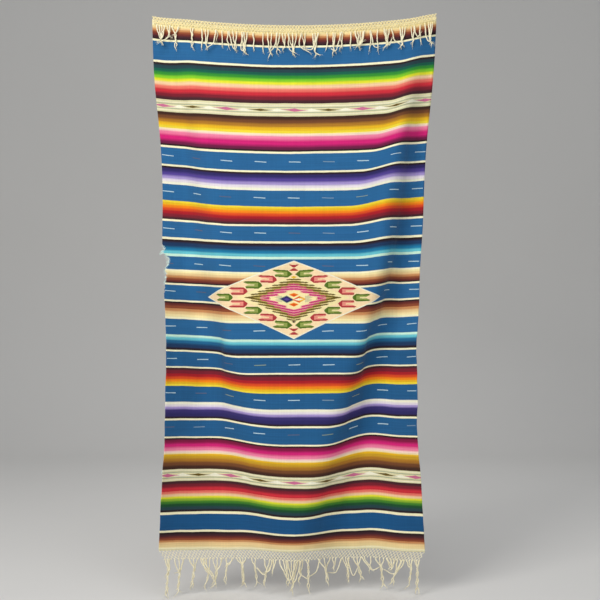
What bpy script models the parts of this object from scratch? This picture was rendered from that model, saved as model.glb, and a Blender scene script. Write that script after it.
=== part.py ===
"""A handwoven serape that hangs from its two top corners.

The woven panel falls in a pair of soft folds that run from the corners towards the middle of the
hem. Its warp ends are knotted into a net heading at both ends: the top one folds forward over the
woven edge, and both carry loose strands.

Metres, +Z up. The origin is halfway between the two grips, +X is the viewer's right and -Y faces
the viewer.
"""

import math

import bmesh
import bpy
import numpy as np
from mathutils import Vector

# The woven panel
PANEL_WIDTH = 1.098
PANEL_LENGTH = 2.002
PANEL_WALL = 0.002
GRIP_TO_WEAVE = 0.042  # the middle of the woven top edge lies this far below the grips
HEM_DRAW_IN = 0.012  # the share of its width that the weave loses towards the hem
PANEL_COLUMNS = 36
PANEL_ROWS = 30

# The knotted net and its strands
SEAM_GAP = 0.0004  # between the woven edge and the net
NET_WALL = 0.0024
NET_HEIGHT = 0.033
TOP_NET_HEIGHT = 0.047  # along the net, with the part that stands up and folds over
NET_END_SLANT = 0.963  # the net's free edge is this share of the woven edge's width
NET_RISE = 0.008  # how far the top net stands up before it folds forward
FOLD_RADIUS = 0.0035
FOLD_STEPS = 3
STRAND_WIDTH = 0.0045
STRAND_TIP = 0.6  # a strand's width at its tip, as a share of its width
TIP_PITCH = 0.0075  # between the tips of one lock
SHORTER = 0.12  # the share by which the shortest strand of a lock falls short of the longest
STRAND_STEPS = 4
TOP_STRAND_STEPS = 3
TOP_STRAND_CLEARANCE = 0.0065  # from the cloth's middle to the middle of a strand in front of it
FORE_STEP = 0.009  # how far a lock that crosses its neighbours hangs in front of them
FORE_BY = 1 / 3  # the share of its drop in which such a lock comes to the front

# How the cloth hangs, in millimetres, by distance down the cloth from its top edge.
# bow: how much higher the sides of the cloth are than its middle, in a parabola
# rise: a further rise of each side flap, and rise_at where along the width it lies; it is as wide
# as the fold
# fold_at, fold_wide, fold_deep: each side fold's place along the width, its width and its depth
# front: how far the middle of the cloth stands in front of the grips
# curl: how far the outer edge of each flap turns back to the front
DRAPE_COLUMNS = (
    "down", "bow", "rise_left", "rise_right", "rise_at_left", "rise_at_right",
    "fold_at_left", "fold_at_right", "fold_wide_left", "fold_wide_right",
    "fold_deep_left", "fold_deep_right", "front", "curl_left", "curl_right",
)  # fmt: skip
DRAPE = (
    (0, 40, -5, 5, -460, 480, -505, 500, 130, 110, 0, 0, 0, 0, 0),
    (200, 31, -6, 17, -440, 440, -450, 490, 135, 115, 31, 30, 6, 0, 0),
    (450, 27, 8, 22, -400, 375, -405, 465, 168, 145, 77, 76, 18, 5, 5),
    (700, 19, 12, 24, -345, 300, -385, 432, 196, 180, 110, 115, 30, 30, 25),
    (950, 0, 7, 16, -310, 330, -365, 398, 208, 190, 130, 157, 42, 85, 84),
    (1200, 0, 13, 22, -325, 345, -315, 335, 208, 215, 120, 150, 50, 100, 115),
    (1450, 0, 18, 24, -210, 275, -275, 265, 242, 275, 110, 140, 62, 110, 120),
    (1600, 0, 20, 23, -155, 220, -250, 215, 262, 280, 98, 128, 70, 118, 125),
    (1730, 0, 18, 10, -130, 180, -208, 176, 250, 265, 82, 115, 77, 115, 116),
    (1870, 0, 8, -1, -100, 120, -150, 130, 240, 250, 78, 112, 76, 98, 98),
    (2010, 0, -10, -19, -135, 130, -135, 120, 250, 250, 73, 103, 62, 83, 83),
)
CURL_STARTS = 0.3  # the curl begins this far from the middle of the cloth
CURL_POWER = 1.6
STEEPEST = 0.05  # the least square of the share of its length that the weft keeps in its width

# The torn left selvedge: how deep it is, in millimetres, by distance down the cloth.
TEAR_COLUMNS = ("down", "deep")
TEAR = (
    (850, 0), (862, 10), (876, 4), (888, 16), (902, 30), (923, 24),
    (942, 12), (955, 14), (975, 12), (1010, 5), (1045, 0),
)  # fmt: skip
TEAR_REACH = 0.1  # the cloth within this distance of the selvedge gives way to the tear
ROW_CLEARANCE = 0.02  # an even row of faces this near a row of the tear is left out

# The locks of fringe along each net, from left to right, in millimetres: where the first and last
# root hang, the number of strands, how far the tips sway to the right of the roots, how far they
# drop, and whether the lock hangs in front of its neighbours.
LOCK_COLUMNS = ("root_from", "root_to", "strands", "sway", "drop", "fore")
BOTTOM_LOCKS = (
    (-488, -473, 3, -4, 139, 0),
    (-455, -425, 3, -4, 128, 0),
    (-402, -373, 3, -6, 112, 0),
    (-360, -349, 2, 46, 84, 1),
    (-340, -326, 2, -12, 112, 0),
    (-314, -280, 3, -12, 108, 0),
    (-264, -238, 2, -17, 92, 0),
    (-222, -188, 4, 8, 100, 0),
    (-164, -149, 2, 15, 104, 0),
    (-114, -95, 2, -12, 96, 0),
    (-80, -72, 2, -8, 46, 0),
    (-56, -25, 3, 18, 88, 1),
    (-12, 12, 3, -10, 119, 0),
    (20, 32, 2, -10, 80, 0),
    (46, 55, 2, 2, 115, 0),
    (92, 137, 3, 11, 92, 0),
    (146, 160, 2, -2, 42, 0),
    (187, 211, 3, 9, 88, 0),
    (229, 257, 3, 19, 88, 0),
    (272, 296, 2, 11, 54, 0),
    (314, 345, 3, 15, 115, 0),
    (360, 384, 3, -4, 38, 1),
    (396, 421, 3, -34, 92, 0),
    (440, 449, 2, -7, 100, 0),
    (460, 474, 3, 1, 123, 0),
)
TOP_LOCKS = (
    (-530, -500, 4, 0, 69, 0),
    (-489, -478, 2, 3, 44, 0),
    (-470, -444, 2, 1, 84, 0),
    (-400, -390, 2, 2, 78, 0),
    (-360, -352, 1, -1, 72, 0),
    (-342, -331, 2, 2, 76, 0),
    (-304, -296, 1, 0, 36, 0),
    (-280, -278, 1, 0, 56, 0),
    (-257, -255, 1, 3, 60, 0),
    (-237, -222, 2, 4, 74, 0),
    (-203, -182, 3, 6, 86, 0),
    (-160, -158, 1, 3, 64, 0),
    (-122, -119, 1, 0, 68, 0),
    (-103, -88, 2, 2, 92, 0),
    (-70, -58, 2, 2, 78, 0),
    (-47, -36, 2, -2, 66, 0),
    (-22, 8, 3, 3, 86, 0),
    (29, 41, 2, 1, 56, 0),
    (70, 90, 3, 6, 89, 0),
    (124, 126, 1, -3, 64, 0),
    (148, 156, 2, -1, 85, 0),
    (175, 184, 2, -2, 66, 0),
    (216, 218, 1, -3, 60, 0),
    (233, 263, 4, -2, 64, 0),
    (290, 292, 1, -3, 73, 0),
    (318, 321, 1, 2, 77, 0),
    (344, 364, 3, -2, 70, 0),
    (406, 426, 3, -4, 78, 0),
    (448, 460, 2, -2, 74, 0),
    (482, 484, 1, 3, 68, 0),
    (515, 530, 3, 4, 86, 0),
)

# Colour, roughness and metallic value
WOOL = (0.02, 0.13, 0.33, 1.0), 0.9, 0.0
COTTON = (0.76, 0.66, 0.42, 1.0), 0.85, 0.0


def column(table, columns, name, at):
    """One column of a table in millimetres, as a smooth curve in metres over its first column."""
    rows = np.array(table, float) / 1000
    x, y = rows[:, 0], rows[:, columns.index(name)]
    slopes = np.diff(y) / np.diff(x)
    tangents = np.concatenate([slopes[:1], (slopes[:-1] + slopes[1:]) / 2, slopes[-1:]])
    i = np.clip(np.searchsorted(x, at) - 1, 0, len(x) - 2)
    span = x[i + 1] - x[i]
    t = (at - x[i]) / span
    return (
        y[i] * (1 + 2 * t) * (1 - t) ** 2
        + tangents[i] * span * t * (1 - t) ** 2
        + y[i + 1] * t * t * (3 - 2 * t)
        + tangents[i + 1] * span * t * t * (t - 1)
    )


def step(at, centre, width):
    """Rises smoothly from 0 to 1 over the given width."""
    t = np.clip((at - centre) / width + 0.5, 0, 1)
    return t * t * (3 - 2 * t)


FACING_REACH = 0.01
FINE_ACROSS = np.linspace(-PANEL_WIDTH / 2, PANEL_WIDTH / 2, 401)
FINE_DOWN = np.linspace(0, PANEL_LENGTH, 202)


def hang():
    """The hung cloth on a fine grid of places across and down it: its x, y and z in metres."""
    across, down = np.meshgrid(FINE_ACROSS, FINE_DOWN)
    d = {name: column(DRAPE, DRAPE_COLUMNS, name, down) for name in DRAPE_COLUMNS[1:]}
    fold_left = step(-across, -d["fold_at_left"], d["fold_wide_left"])
    fold_right = step(across, d["fold_at_right"], d["fold_wide_right"])
    rise_left = step(-across, -d["rise_at_left"], d["fold_wide_left"])
    rise_right = step(across, d["rise_at_right"], d["fold_wide_right"])
    half = PANEL_WIDTH / 2
    outer = np.clip((np.abs(across) - CURL_STARTS) / (half - CURL_STARTS), 0, 1) ** CURL_POWER
    curl = np.where(across < 0, d["curl_left"], d["curl_right"])
    y = d["fold_deep_left"] * fold_left + d["fold_deep_right"] * fold_right
    y = y - d["front"] - curl * outer
    z = d["bow"] * (across / half) ** 2 - GRIP_TO_WEAVE - down
    z = z + d["rise_left"] * rise_left + d["rise_right"] * rise_right
    # The weft keeps its length, so what goes into depth is missing from the width.
    slope_y = np.gradient(y, FINE_ACROSS, axis=1)
    slope_z = np.gradient(z, FINE_ACROSS, axis=1)
    run = np.sqrt(np.clip(1 - slope_y**2 - slope_z**2, STEEPEST, 1))
    steps = (run[:, 1:] + run[:, :-1]) / 2 * np.diff(FINE_ACROSS)
    x = np.concatenate([np.zeros((len(run), 1)), np.cumsum(steps, axis=1)], axis=1)
    x = x - x[:, [len(FINE_ACROSS) // 2]]
    x = x * (1 - HEM_DRAW_IN * (down / PANEL_LENGTH) ** 2)
    # The warp keeps its length too.
    slope_down = np.gradient(y, FINE_DOWN, axis=0)
    z = z + np.cumsum(slope_down**2 / 2, axis=0) * FINE_DOWN[1]
    return np.stack([x, y, z], axis=2)


HUNG = hang()


def place(across, down):
    """The point of the hung cloth at one place across and down it."""
    i = np.clip(np.interp(down, FINE_DOWN, np.arange(len(FINE_DOWN))), 0, len(FINE_DOWN) - 1.001)
    row, part = int(i), i - int(i)
    line = HUNG[row] * (1 - part) + HUNG[row + 1] * part
    return np.array([np.interp(across, FINE_ACROSS, line[:, k]) for k in range(3)])


def facing(across, down):
    """The cloth's unit normal towards the viewer at one place across and down it."""
    side = place(across + FACING_REACH, down) - place(across - FACING_REACH, down)
    low, high = min(down + FACING_REACH, PANEL_LENGTH), max(down - FACING_REACH, 0)
    normal = np.cross(side, place(across, high) - place(across, low))
    return normal / np.linalg.norm(normal)


TEAR_AT = dict(zip(TEAR_COLUMNS, np.array(TEAR, float).T / 1000))


def torn(across, down):
    """Moves a place across the cloth inwards where the left selvedge is torn."""
    tear = np.interp(down, TEAR_AT["down"], TEAR_AT["deep"])
    from_edge = across + PANEL_WIDTH / 2
    return across + tear * max(0, 1 - from_edge / TEAR_REACH)


def material(name, looks):
    colour, roughness, metallic = looks
    made = bpy.data.materials.new(name)
    made.use_nodes = True
    shader = made.node_tree.nodes["Principled BSDF"]
    shader.inputs["Base Color"].default_value = colour
    shader.inputs["Roughness"].default_value = roughness
    shader.inputs["Metallic"].default_value = metallic
    return made


def add_object(name, bm, collection, looks):
    """Turns a bmesh into a smooth shaded object in the collection."""
    bmesh.ops.recalc_face_normals(bm, faces=bm.faces)
    if bm.calc_volume(signed=True) < 0:
        bmesh.ops.reverse_faces(bm, faces=bm.faces)
    mesh = bpy.data.meshes.new(name)
    bm.to_mesh(mesh)
    bm.free()
    mesh.shade_smooth()
    mesh.materials.append(looks)
    made = bpy.data.objects.new(name, mesh)
    collection.objects.link(made)
    return made


def grid_of(bm, columns, rows):
    """An open grid of quads in the bmesh, and its vertices by column and row."""
    made = bmesh.ops.create_grid(bm, x_segments=columns, y_segments=rows, size=1)
    ordered = sorted(made["verts"], key=lambda v: (round(v.co.x, 5), -round(v.co.y, 5)))
    return [ordered[c * (rows + 1) : (c + 1) * (rows + 1)] for c in range(columns + 1)]


def woven_panel(collection, looks):
    """The blanket itself: an open sheet on the hung form, thickened to the weave's wall."""
    even = np.linspace(0, PANEL_LENGTH, PANEL_ROWS + 1)
    kept = [v for v in even if np.abs(TEAR_AT["down"] - v).min() > ROW_CLEARANCE]
    downs = sorted([*kept, *TEAR_AT["down"]])
    acrosses = np.linspace(-PANEL_WIDTH / 2, PANEL_WIDTH / 2, PANEL_COLUMNS + 1)
    bm = bmesh.new()
    verts = grid_of(bm, PANEL_COLUMNS, len(downs) - 1)
    for across, line in zip(acrosses, verts):
        for down, vert in zip(downs, line):
            vert.co = place(torn(across, down), down)
    panel = add_object("woven_panel", bm, collection, looks)
    wall = panel.modifiers.new("weave", "SOLIDIFY")
    wall.thickness = PANEL_WALL
    wall.offset = 0
    wall.use_even_offset = True
    return panel


def strands_of(locks):
    """A strand's root, tip, drop and fore, in metres, for every strand of these locks."""
    strands = []
    for lock in locks:
        row = dict(zip(LOCK_COLUMNS, lock))
        count = row["strands"]
        for k in range(count):
            share = k / (count - 1) if count > 1 else 0.5
            root = row["root_from"] + (row["root_to"] - row["root_from"]) * share
            middle = (row["root_from"] + row["root_to"]) / 2 + row["sway"]
            tip = middle / 1000 + (share - 0.5) * (count - 1) * TIP_PITCH
            drop = row["drop"] / 1000 * (1 - SHORTER * ((k * 2) % 3) / 2)
            strands.append((root / 1000, tip, drop, row["fore"] * FORE_STEP))
    return strands


def net_edges(strands, left, right):
    """Where a net's columns hang along its free edge: both sides of each root, and its ends."""
    edges = [left]
    for root, *_ in strands:
        edges += [root - STRAND_WIDTH / 2, root + STRAND_WIDTH / 2]
    return [*edges, right]


def net_strip(bm, edges, profile, surface):
    """A closed strip of net. profile lists its places from the woven edge to the free edge, and
    surface gives the middle point and the normal for an edge place and a profile place.
    Returns the front and back corner of each column on the free edge."""
    number = bm.verts.layers.int.new("number")
    verts = grid_of(bm, len(edges) - 1, len(profile) - 1)
    fronts = [vert for line in verts for vert in line]
    for n, vert in enumerate(fronts):
        vert[number] = n
    made = bmesh.ops.extrude_face_region(bm, geom=bm.faces[:])["geom"]
    backs = {g[number]: g for g in made if isinstance(g, bmesh.types.BMVert)}
    for column_no, edge in enumerate(edges):
        for row_no, at in enumerate(profile):
            n = column_no * len(profile) + row_no
            middle, normal = surface(edge, at)
            fronts[n].co = middle + normal * NET_WALL / 2
            backs[n].co = middle - normal * NET_WALL / 2
    last = len(profile) - 1
    return [(line[last], backs[line[last][number]]) for line in verts]


def hang_strand(bm, corners, path):
    """Draws one strand down its path, out of the net's rim face between these corner points: the
    front left, front right, back right and back left one."""
    front_left, front_right, back_right, _ = corners
    face = next(f for f in front_left.link_faces if set(f.verts) == set(corners))
    signs = dict(zip(corners, ((-1, 1), (1, 1), (1, -1), (-1, -1))))
    order = [signs[vert] for vert in face.verts]
    across = (front_right.co - back_right.co).cross(Vector((0, 0, 1))).normalized()
    if across.dot(front_right.co - front_left.co) < 0:
        across.negate()
    fore = across.cross(Vector((0, 0, 1))).normalized()
    if fore.dot(front_right.co - back_right.co) < 0:
        fore.negate()
    for k, point in enumerate(path[1:], 1):
        size = STRAND_WIDTH / 2 * (1 - (1 - STRAND_TIP) * k / (len(path) - 1))
        face = bmesh.ops.extrude_discrete_faces(bm, faces=[face])["faces"][0]
        for (side, front), vert in zip(order, face.verts):
            vert.co = Vector(point) + across * side * size + fore * front * size


def bottom_surface(edge, at):
    """The lower net goes straight down from the hem, a little narrower towards its free edge."""
    hem_x = edge / NET_END_SLANT
    across = np.interp(hem_x, HUNG[-1][:, 0], FINE_ACROSS)
    inward = (edge - hem_x) * at / NET_HEIGHT
    middle = place(across, PANEL_LENGTH) + np.array([inward, 0, -SEAM_GAP - at])
    normal = facing(across, PANEL_LENGTH) * (1, 1, 0)
    return middle, normal / np.linalg.norm(normal)


def top_surface(edge, at):
    """The upper net stands up from the woven edge, folds forward over a small round and hangs
    down in front of the cloth."""
    start = place(np.interp(edge, HUNG[0][:, 0], FINE_ACROSS), 0)
    bend = math.pi * FOLD_RADIUS
    if at <= NET_RISE:
        fore, up, tilt = 0, at, 0
    elif at <= NET_RISE + bend:
        tilt = (at - NET_RISE) / FOLD_RADIUS
        fore = FOLD_RADIUS * (1 - math.cos(tilt))
        up = NET_RISE + FOLD_RADIUS * math.sin(tilt)
    else:
        tilt = math.pi
        fore, up = 2 * FOLD_RADIUS, NET_RISE - (at - NET_RISE - bend)
    middle = start + np.array([0, -fore, SEAM_GAP + up])
    return middle, np.array([0, -math.cos(tilt), -math.sin(tilt)])


def bottom_fringe(collection, looks):
    """The net along the hem, with its strands drawn out of the free edge."""
    strands = strands_of(BOTTOM_LOCKS)
    bm = bmesh.new()
    ends = HUNG[-1][[0, -1], 0] * NET_END_SLANT
    edges = net_edges(strands, *ends)
    free = net_strip(bm, edges, (0, NET_HEIGHT), bottom_surface)
    for n, (_, tip, drop, fore) in enumerate(strands):
        left, right = free[2 * n + 1], free[2 * n + 2]
        root = (left[0].co + left[1].co + right[0].co + right[1].co) / 4
        path = []
        for t in np.linspace(0, 1, STRAND_STEPS + 1):
            sway = (tip - root.x) * step(t, 0.5, 1)
            y = root.y - fore * min(1, t / FORE_BY)
            path.append((root.x + sway, y, root.z - drop * t))
        hang_strand(bm, (left[0], right[0], right[1], left[1]), path)
    return add_object("bottom_fringe", bm, collection, looks)


def top_fringe(collection, looks):
    """The net over the woven top edge, with its strands hanging in front of the cloth."""
    strands = strands_of(TOP_LOCKS)
    bend = math.pi * FOLD_RADIUS
    arc = [NET_RISE + bend * k / FOLD_STEPS for k in range(FOLD_STEPS + 1)]
    bm = bmesh.new()
    edges = net_edges(strands, *HUNG[0][[0, -1], 0])
    free = net_strip(bm, edges, (0, *arc, TOP_NET_HEIGHT), top_surface)
    for n, (_, tip, drop, fore) in enumerate(strands):
        left, right = free[2 * n + 1], free[2 * n + 2]
        root = (left[0].co + left[1].co + right[0].co + right[1].co) / 4
        path = []
        for t in np.linspace(0, 1, TOP_STRAND_STEPS + 1):
            x = root.x + (tip - root.x) * step(t, 0.5, 1)
            z = root.z - drop * t
            cloth = place(x, max(0, -z - GRIP_TO_WEAVE))
            y = min(root.y, cloth[1] - TOP_STRAND_CLEARANCE) - fore * min(1, t / FORE_BY)
            path.append((x, y, z))
        hang_strand(bm, (left[0], right[0], right[1], left[1]), path)
    return add_object("top_fringe", bm, collection, looks)


def main():
    for old in list(bpy.data.objects):
        bpy.data.objects.remove(old, do_unlink=True)
    collection = bpy.data.collections.new("serape")
    bpy.context.scene.collection.children.link(collection)
    wool = material("wool_weave", WOOL)
    cotton = material("cotton_warp", COTTON)
    woven_panel(collection, wool)
    top_fringe(collection, cotton)
    bottom_fringe(collection, cotton)


main()
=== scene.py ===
"""The looks of a handwoven serape that hangs from its two top corners.

The cloth is a thin shell on the hung form of its solid, with finer creases and a worn selvedge. Its
stripes, dashes, lozenges and medallion are charted as a weaver would, in millimetres of cloth, and
drawn by the material. The knotted nets and their plied cords stand for the two fringe solids.
"""

import math

import bpy
import numpy as np
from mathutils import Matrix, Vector, noise


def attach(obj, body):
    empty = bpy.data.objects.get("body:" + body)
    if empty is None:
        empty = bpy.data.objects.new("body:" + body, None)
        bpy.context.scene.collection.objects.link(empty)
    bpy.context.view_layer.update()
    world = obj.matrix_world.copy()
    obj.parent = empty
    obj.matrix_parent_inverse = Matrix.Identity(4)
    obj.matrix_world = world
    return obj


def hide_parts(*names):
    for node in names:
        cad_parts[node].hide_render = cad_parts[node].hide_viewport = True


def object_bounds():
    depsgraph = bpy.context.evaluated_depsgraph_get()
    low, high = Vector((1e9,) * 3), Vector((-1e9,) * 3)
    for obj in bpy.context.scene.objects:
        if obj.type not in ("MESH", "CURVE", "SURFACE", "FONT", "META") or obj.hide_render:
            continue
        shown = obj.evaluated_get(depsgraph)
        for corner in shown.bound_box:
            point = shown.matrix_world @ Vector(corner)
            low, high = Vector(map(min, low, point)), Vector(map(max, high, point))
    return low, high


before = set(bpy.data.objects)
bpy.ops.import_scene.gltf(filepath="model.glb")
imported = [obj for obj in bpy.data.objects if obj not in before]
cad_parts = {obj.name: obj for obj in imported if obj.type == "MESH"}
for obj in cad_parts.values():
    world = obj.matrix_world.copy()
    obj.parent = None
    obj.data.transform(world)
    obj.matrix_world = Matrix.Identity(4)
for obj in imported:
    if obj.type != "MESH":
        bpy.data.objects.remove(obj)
cad_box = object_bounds()

# The woven panel, as in the solids
PANEL_WIDTH = 1.098
PANEL_LENGTH = 2.002
PANEL_WALL = 0.002
GRIP_TO_WEAVE = 0.042
HEM_DRAW_IN = 0.012
SEAM_GAP = 0.0004
NET_HEIGHT = 0.033
TOP_NET_HEIGHT = 0.047
TOP_NET_FALL = 0.020  # how far below the woven edge the top net hangs
NET_END_SLANT = 0.963
NET_RISE = 0.008
FOLD_RADIUS = 0.0035
SHORTER = 0.12
TOP_STRAND_CLEARANCE = 0.0065
FORE_STEP = 0.009

# How the cloth hangs, in millimetres, by distance down the cloth from its top edge.
DRAPE_COLUMNS = (
    "down", "bow", "rise_left", "rise_right", "rise_at_left", "rise_at_right",
    "fold_at_left", "fold_at_right", "fold_wide_left", "fold_wide_right",
    "fold_deep_left", "fold_deep_right", "front", "curl_left", "curl_right",
)  # fmt: skip
DRAPE = (
    (0, 40, -5, 5, -460, 480, -505, 500, 130, 110, 0, 0, 0, 0, 0),
    (200, 31, -6, 17, -440, 440, -450, 490, 135, 115, 31, 30, 6, 0, 0),
    (450, 27, 8, 22, -400, 375, -405, 465, 168, 145, 77, 76, 18, 5, 5),
    (700, 19, 12, 24, -345, 300, -385, 432, 196, 180, 110, 115, 30, 30, 25),
    (950, 0, 7, 16, -310, 330, -365, 398, 208, 190, 130, 157, 42, 85, 84),
    (1200, 0, 13, 22, -325, 345, -315, 335, 208, 215, 120, 150, 50, 100, 115),
    (1450, 0, 18, 24, -210, 275, -275, 265, 242, 275, 110, 140, 62, 110, 120),
    (1600, 0, 20, 23, -155, 220, -250, 215, 262, 280, 98, 128, 70, 118, 125),
    (1730, 0, 18, 10, -130, 180, -208, 176, 250, 265, 82, 115, 77, 115, 116),
    (1870, 0, 8, -1, -100, 120, -150, 130, 240, 250, 78, 112, 76, 98, 98),
    (2010, 0, -10, -19, -135, 130, -135, 120, 250, 250, 73, 103, 62, 83, 83),
)
CURL_STARTS = 0.3
CURL_POWER = 1.6
STEEPEST = 0.05

# The torn left selvedge, in millimetres: how far down the cloth, and how deep it is there.
TEAR = (
    (850, 0), (857, 7), (863, 11), (868, 9), (872, 4), (878, 2), (883, 7), (888, 17), (895, 26),
    (902, 30), (912, 28), (923, 24), (932, 16), (942, 11), (950, 13), (955, 15), (965, 14),
    (975, 12), (990, 8), (1010, 5), (1026, 3), (1045, 0),
)  # fmt: skip
TEAR_REACH = 0.1  # how far in from the tear the weave is drawn together
RAGGED = 0.0016  # the finer raggedness of the tear
# Loose threads along it: from where to where, how many, how long in metres, and how far they droop.
LOOSE_THREADS = (
    (869, 882, 14, 0.017, 0.30), (854, 866, 6, 0.010, 0.1), (886, 934, 20, 0.014, 0.5),
    (936, 996, 20, 0.010, 0.6), (1716, 1728, 3, 0.011, 0.2),
)  # fmt: skip

# Creases pressed into the cloth by hand, in millimetres: a straight run from one place to another,
# how wide it is, and how far it stands out to the front.
CREASE_COLUMNS = ("across_from", "down_from", "across_to", "down_to", "wide", "high")
CREASES = (
    (0, 40, 2, 1000, 11, 1.4),
    (2, 1000, -2, 2002, 11, 1.6),
    (-14, 40, -12, 2002, 26, -0.5),
    (-462, 110, -430, 520, 46, -3.2),
    (-418, 140, -398, 420, 42, 2.6),
    (-405, 420, -250, 860, 60, -3.0),
    (-330, 600, -290, 980, 40, 2.2),
    (-300, 1120, -335, 1330, 34, -3.0),
    (-262, 1130, -290, 1400, 36, 3.0),
    (-240, 1240, -200, 1560, 40, -2.5),
    (-130, 1300, -110, 1700, 60, 1.5),
    (-215, 1560, -120, 1900, 38, 2.5),
    (-330, 1380, -300, 1620, 46, 1.8),
    (360, 560, 440, 320, 50, 2.0),
    (455, 330, 470, 700, 34, -2.5),
    (425, 640, 405, 980, 30, 2.5),
    (372, 1000, 340, 1230, 34, 3.2),
    (330, 1060, 300, 1300, 40, -3.0),
    (400, 1080, 395, 1340, 44, -2.2),
    (262, 1330, 215, 1620, 40, -2.8),
    (300, 1400, 262, 1640, 34, 2.2),
    (175, 1640, 120, 1920, 40, -2.5),
    (225, 1620, 195, 1940, 40, 2.6),
    (60, 1500, 40, 1960, 60, 1.6),
    (-480, 1200, -470, 1700, 50, 1.5),
    (470, 1300, 460, 1800, 50, 1.5),
)
CREASE_FADE = 0.09  # a crease dies away over this much of its length at each end
COCKLE = 0.0011  # the gentle unevenness of a hand-beaten weave
# Its waves: half waves in a metre across and down, where they start, and their share of it.
COCKLE_WAVES = (
    (9.1, 3.3, 0.4, 0.5), (5.2, -7.1, 1.9, 0.45), (14.3, 5.9, 2.7, 0.3),
    (2.7, 12.7, 4.1, 0.35), (21.7, -4.2, 0.9, 0.2), (7.9, 17.3, 5.3, 0.25),
    (31.0, 9.4, 3.6, 0.12), (12.4, 27.1, 1.2, 0.16),
)  # fmt: skip
SELVEDGE_WAVE = 0.0008

# The locks of fringe along each net, from left to right, in millimetres: as in the solids, and then
# at what percentage of the drop the strands come together and how far they swing sideways.
LOCK_COLUMNS = ("root_from", "root_to", "strands", "sway", "drop", "fore", "gather", "swing")
BOTTOM_LOCKS = (
    (-488, -473, 3, -4, 139, 0, 26, 3),
    (-455, -425, 3, -4, 128, 0, 44, 2),
    (-402, -373, 3, -6, 112, 0, 30, 4),
    (-360, -349, 2, 46, 84, 1, 78, 40),
    (-340, -326, 2, -12, 112, 0, 60, 2),
    (-314, -280, 3, -12, 108, 0, 48, -2),
    (-264, -238, 2, -17, 92, 0, 30, -10),
    (-222, -188, 4, 8, 100, 0, 26, 4),
    (-164, -149, 2, 15, 104, 0, 26, 3),
    (-114, -95, 2, -12, 96, 0, 48, -2),
    (-80, -72, 2, -8, 46, 0, 60, -3),
    (-56, -25, 3, 18, 88, 1, 62, 10),
    (-12, 12, 3, -10, 119, 0, 66, -4),
    (20, 32, 2, -10, 80, 0, 66, -2),
    (46, 55, 2, 2, 115, 0, 16, 2),
    (92, 137, 3, 11, 92, 0, 40, 6),
    (146, 160, 2, -2, 42, 0, 60, 2),
    (187, 211, 3, 9, 88, 0, 46, 8),
    (229, 257, 3, 19, 88, 0, 36, 4),
    (272, 296, 2, 11, 54, 0, 66, 10),
    (314, 345, 3, 15, 115, 0, 32, 6),
    (360, 384, 3, -4, 38, 1, 70, 4),
    (396, 421, 3, -34, 92, 0, 62, -22),
    (440, 449, 2, -7, 100, 0, 40, 2),
    (460, 474, 3, 1, 123, 0, 22, 2),
)
TOP_LOCKS = (
    (-530, -500, 4, 0, 69, 0, 86, 3),
    (-489, -478, 2, 3, 44, 0, 90, 4),
    (-470, -444, 2, 1, 84, 0, 36, 0),
    (-400, -390, 2, 2, 78, 0, 34, 1),
    (-360, -352, 1, -1, 72, 0, 50, 2),
    (-342, -331, 2, 2, 76, 0, 82, -3),
    (-304, -296, 1, 0, 36, 0, 50, 4),
    (-280, -278, 1, 0, 56, 0, 50, 2),
    (-257, -255, 1, 3, 60, 0, 50, -2),
    (-237, -222, 2, 4, 74, 0, 82, 2),
    (-203, -182, 3, 6, 86, 0, 82, -2),
    (-160, -158, 1, 3, 64, 0, 50, 2),
    (-122, -119, 1, 0, 68, 0, 50, -2),
    (-103, -88, 2, 2, 92, 0, 82, 2),
    (-70, -58, 2, 2, 78, 0, 82, -3),
    (-47, -36, 2, -2, 66, 0, 82, 3),
    (-22, 8, 3, 3, 86, 0, 82, 2),
    (29, 41, 2, 1, 56, 0, 82, 4),
    (70, 90, 3, 6, 89, 0, 82, -2),
    (124, 126, 1, -3, 64, 0, 50, 2),
    (148, 156, 2, -1, 85, 0, 82, -2),
    (175, 184, 2, -2, 66, 0, 82, 2),
    (216, 218, 1, -3, 60, 0, 50, -2),
    (233, 263, 4, -2, 64, 0, 82, 3),
    (290, 292, 1, -3, 73, 0, 50, 2),
    (318, 321, 1, 2, 77, 0, 50, -2),
    (344, 364, 3, -2, 70, 0, 82, 2),
    (406, 426, 3, -4, 78, 0, 82, -3),
    (448, 460, 2, -2, 74, 0, 82, 2),
    (482, 484, 1, 3, 68, 0, 50, -2),
    (515, 530, 3, 4, 86, 0, 82, -2),
)

# Cords that loop from one lock to the next, in millimetres: their first, lowest and last places,
# as how far across and how far below the net's free edge.
LOOP_COLUMNS = ("from", "from_drop", "low", "low_drop", "to", "to_drop", "fore")
BOTTOM_LOOPS = (
    (-478, 0, -470, 34, -486, 58, 1),
    (-424, 0, -432, 40, -449, 52, 0),
    (-353, 0, -340, 44, -306, 68, 1),
    (-282, 0, -288, 30, -303, 46, 0),
    (-241, 0, -250, 20, -262, 26, 0),
    (-143, 34, -112, 57, -78, 0, 1),
    (-86, 0, -92, 36, -108, 46, 0),
    (-32, 0, -16, 72, 9, 0, 1),
    (-28, 0, -2, 80, 26, 0, 0),
    (22, 0, 20, 44, 47, 66, 1),
    (97, 0, 84, 46, 51, 70, 0),
    (182, 0, 162, 52, 131, 55, 1),
    (206, 0, 226, 66, 246, 36, 1),
    (262, 0, 300, 47, 336, 34, 0),
    (412, 0, 384, 50, 344, 34, 1),
    (356, 0, 372, 34, 392, 0, 0),
    (430, 0, 442, 26, 450, 0, 0),
)
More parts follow.
